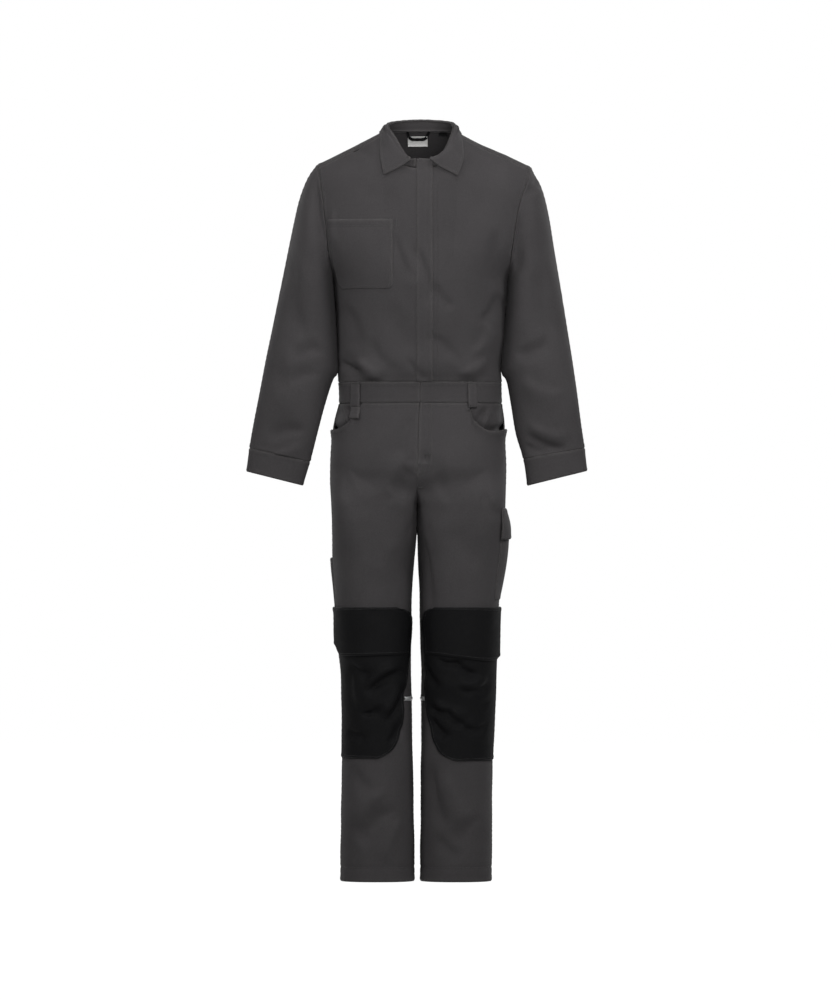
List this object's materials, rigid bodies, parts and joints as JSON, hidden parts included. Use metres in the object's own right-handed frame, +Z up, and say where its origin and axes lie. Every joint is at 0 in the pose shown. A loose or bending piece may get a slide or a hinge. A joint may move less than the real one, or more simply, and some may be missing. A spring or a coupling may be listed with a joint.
{
  "type": "boiler suit",
  "caption": "Long-sleeved work boiler suit, filled out as worn: turn-down collar, covered front closure, belted waist, thigh pockets and reinforced knees.",
  "frame": {"origin": "between the shoulders at neck height, on the wearer's middle", "axes": "+Z up the wearer, -Y out of the chest, +X to the wearer's left"},
  "size_m": [0.7146, 0.2799, 1.5997],
  "materials": {
    "twill": "dark grey polyester cotton twill, matt",
    "patch": "black coated polyamide canvas, faint sheen",
    "label_white": "white satin tape",
    "reflective": "silver-grey reflective tape"
  },
  "bodies": {
    "root": {"back": "twill", "care_label": "label_white", "cargo_flap": "twill", "cargo_pocket": "twill", "chest_pocket": "twill", "collar_fall": "twill", "collar_stand": "twill", "cuff_left": "twill", "cuff_right": "twill", "fly": "twill", "front_left": "twill", "front_right": "twill", "hanger_loop": "patch", "hip_pocket_left": "twill", "hip_pocket_right": "twill", "knee_flap_left": "patch", "knee_flap_right": "patch", "knee_patch_left": "patch", "knee_patch_right": "patch", "loop_back_left": "twill", "loop_back_right": "twill", "loop_front_left": "twill", "loop_front_right": "twill", "lower_leg_left_back": "twill", "lower_leg_left_front": "twill", "lower_leg_right_back": "twill", "lower_leg_right_front": "twill", "piping_left": "reflective", "piping_right": "reflective", "placket": "twill", "size_tag": "patch", "sleeve_left_back": "twill", "sleeve_left_front": "twill", "sleeve_right_back": "twill", "sleeve_right_front": "twill", "tool_pocket": "twill", "trouser_left_back": "twill", "trouser_left_front": "twill", "trouser_right_back": "twill", "trouser_right_front": "twill", "waistband_back": "twill", "waistband_left": "twill", "waistband_right": "twill", "yoke": "twill"}
  },
  "joints": []
}
